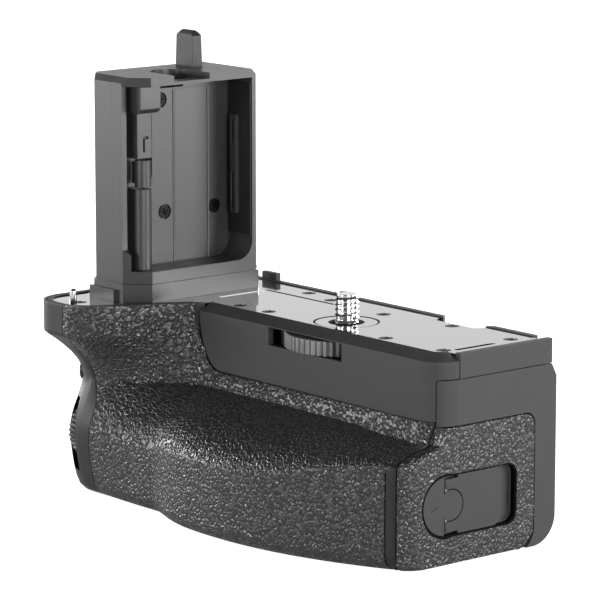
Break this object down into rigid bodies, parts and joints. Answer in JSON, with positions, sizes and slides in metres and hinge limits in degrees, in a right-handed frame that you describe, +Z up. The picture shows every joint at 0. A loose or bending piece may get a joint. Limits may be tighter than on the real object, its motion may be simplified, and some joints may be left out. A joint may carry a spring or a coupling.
{
  "type": "camera battery grip",
  "caption": "Screw-on battery grip for a mirrorless camera: leather-grained body with a plug-in tower, sliding battery drawer with a turn lock, attachment wheel and vertical controls.",
  "frame": {"origin": "axis of the camera screw at the plane where the camera's underside rests on the rim", "axes": "+X along the grip towards the battery door, +Y towards the back, +Z up along the camera screw"},
  "size_m": [0.1283, 0.0704, 0.1201],
  "materials": {
    "grip_metal": "matt, hidden",
    "shell": "fine texture",
    "tower": "fine texture",
    "rubber": "leather grain",
    "plate": "satin",
    "trim": "satin",
    "control": "satin",
    "black_screw": "blackened",
    "chrome": "polished",
    "steel": "plain",
    "board": "lacquered",
    "contact": "plated",
    "catch": "coloured",
    "inner": "plain"
  },
  "bodies": {
    "grip": {"chassis": "grip_metal", "drawer_tunnel": "inner", "top_plate": "plate", "front_panel": "shell", "grip_core": "inner", "grip_skin": "rubber", "control_panel": "shell", "rear_casing": "shell", "rear_pad": "rubber", "bottom_cover": "shell", "end_frame": "trim", "plate_screws": "black_screw", "locating_pins": "chrome", "screw_collar": "plate", "wheel_bridge": "steel", "tripod_socket": "steel", "cover_screws": "black_screw", "tower_shell": "tower", "tower_frame": "tower", "pocket_plate": "tower", "pocket_screws": "black_screw", "side_bar": "tower", "hinge_post": "tower", "clip_plate": "tower", "contact_tab": "trim", "tower_board": "board", "main_board": "board", "board_parts": "inner", "terminal_block": "inner", "rear_board": "board", "key_switches": "steel", "control_frame": "inner", "shutter_bezel": "trim", "joystick_base": "inner"},
    "attachment": {"attachment_wheel": "trim", "camera_screw": "chrome", "screw_clip": "steel"},
    "battery_drawer": {"drawer": "inner", "battery_door": "shell", "door_skin": "rubber", "lock_disc": "shell", "flap_pin": "steel", "lock_cam": "steel", "drawer_contacts": "contact"},
    "flap": {"lock_flap": "shell"},
    "catch_inner": {"inner_catch": "catch"},
    "catch_outer": {"outer_catch": "catch"},
    "dial_front": {"front_dial": "control"},
    "dial_rear": {"rear_dial": "control"},
    "shutter": {"shutter_button": "control"},
    "lever": {"power_lever": "control"},
    "button_waist": {"waist_button": "control"},
    "button_focus": {"focus_button": "control"},
    "button_lock": {"lock_button": "control"},
    "button_option": {"option_button": "control"},
    "stick_gimbal": {"joystick_gimbal": "steel"},
    "stick": {"joystick": "control"},
    "roller": {"pocket_roller": "tower"}
  },
  "joints": [
    {"name": "attachment_spin", "type": "hinge", "parent": "grip", "child": "attachment", "pos_m": [0, 0, 0], "axis": [0, 0, 1], "continuous": true},
    {"name": "drawer_slide", "type": "slide", "parent": "grip", "child": "battery_drawer", "axis": [1, 0, 0], "range_m": [0, 0.11]},
    {"name": "flap_fold", "type": "hinge", "parent": "battery_drawer", "child": "flap", "pos_m": [0.04905, -0.0105, -0.0372], "axis": [0, 0, -1], "range_deg": [0, 90]},
    {"name": "inner_catch_turn", "type": "hinge", "parent": "battery_drawer", "child": "catch_inner", "pos_m": [-0.0135, -0.021, -0.041], "axis": [0, 0, 1], "range_deg": [0, 3], "stiffness_Nm_per_rad": 0.02, "springref_deg": -5.73},
    {"name": "outer_catch_turn", "type": "hinge", "parent": "battery_drawer", "child": "catch_outer", "pos_m": [0.0403, -0.021, -0.041], "axis": [0, 0, 1], "range_deg": [0, 3], "stiffness_Nm_per_rad": 0.02, "springref_deg": -5.73},
    {"name": "front_dial_spin", "type": "hinge", "parent": "grip", "child": "dial_front", "pos_m": [-0.0694, -0.02651, -0.036], "axis": [1, 0, 0], "continuous": true},
    {"name": "rear_dial_spin", "type": "hinge", "parent": "grip", "child": "dial_rear", "pos_m": [-0.058, 0.0176, -0.015], "axis": [0, 0, 1], "continuous": true},
    {"name": "shutter_press", "type": "slide", "parent": "grip", "child": "shutter", "axis": [1, 0, 0], "range_m": [0, 0.001], "stiffness_N_per_m": 900, "springref_m": -0.0005},
    {"name": "lever_turn", "type": "hinge", "parent": "grip", "child": "lever", "pos_m": [-0.076, -0.011, -0.036], "axis": [1, 0, 0], "range_deg": [0, 40]},
    {"name": "waist_press", "type": "slide", "parent": "grip", "child": "button_waist", "axis": [0.8192, 0.5736, 0], "range_m": [0, 0.0005], "stiffness_N_per_m": 1200, "springref_m": -0.0003},
    {"name": "focus_press", "type": "slide", "parent": "grip", "child": "button_focus", "axis": [0, -1, 0], "range_m": [0, 0.0005], "stiffness_N_per_m": 1200, "springref_m": -0.0003},
    {"name": "lock_press", "type": "slide", "parent": "grip", "child": "button_lock", "axis": [0, -1, 0], "range_m": [0, 0.0005], "stiffness_N_per_m": 1200, "springref_m": -0.0003},
    {"name": "option_press", "type": "slide", "parent": "grip", "child": "button_option", "axis": [0, -1, 0], "range_m": [0, 0.0005], "stiffness_N_per_m": 1200, "springref_m": -0.0003},
    {"name": "stick_tilt_up", "type": "hinge", "parent": "grip", "child": "stick_gimbal", "pos_m": [-0.043, 0.0172, -0.015], "axis": [1, 0, 0], "range_deg": [-7, 7], "stiffness_Nm_per_rad": 0.03},
    {"name": "stick_tilt_side", "type": "hinge", "parent": "stick_gimbal", "child": "stick", "pos_m": [-0.043, 0.0172, -0.015], "axis": [0, 0, 1], "range_deg": [-7, 7], "stiffness_Nm_per_rad": 0.03},
    {"name": "roller_press", "type": "slide", "parent": "grip", "child": "roller", "axis": [-1, 0, 0], "range_m": [0, 0.001], "stiffness_N_per_m": 900, "springref_m": -0.0005}
  ]
}
